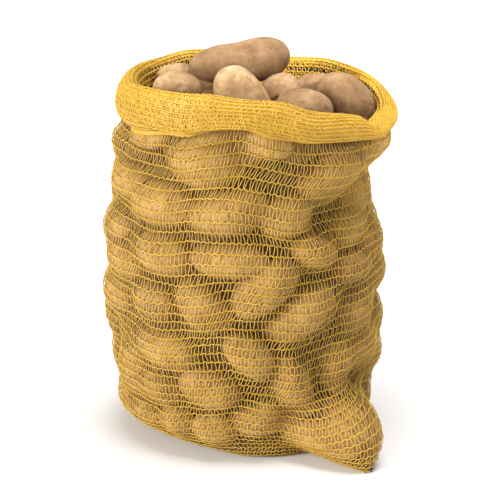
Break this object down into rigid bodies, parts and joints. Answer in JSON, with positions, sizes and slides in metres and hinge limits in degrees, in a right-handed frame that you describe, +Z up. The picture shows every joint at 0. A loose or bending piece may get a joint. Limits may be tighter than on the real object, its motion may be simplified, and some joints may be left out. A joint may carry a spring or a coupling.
{
  "type": "mesh sack of potatoes",
  "caption": "Knitted net sack standing full of potatoes, its mouth rolled down into a cuff that holds a drawstring, with one bottom corner stuck out at the front right.",
  "frame": {"origin": "middle of the flat base on which the sack stands", "axes": "+Z up, -Y towards the sack's front, +X to the right as seen from the front"},
  "size_m": [0.3482, 0.3077, 0.4729],
  "materials": {
    "net": "golden yellow knitted plastic tape, open mesh, slight sheen",
    "drawstring": "dark navy braided cord, matt",
    "potato": null
  },
  "bodies": {
    "root": {"sack_net": "net", "drawstring": "drawstring", "potato_heap": "potato", "potato_top_1": "potato", "potato_top_2": "potato", "potato_top_3": "potato", "potato_top_4": "potato", "potato_top_5": "potato", "potato_top_6": "potato", "potato_top_7": "potato", "potato_top_8": "potato"}
  },
  "joints": []
}
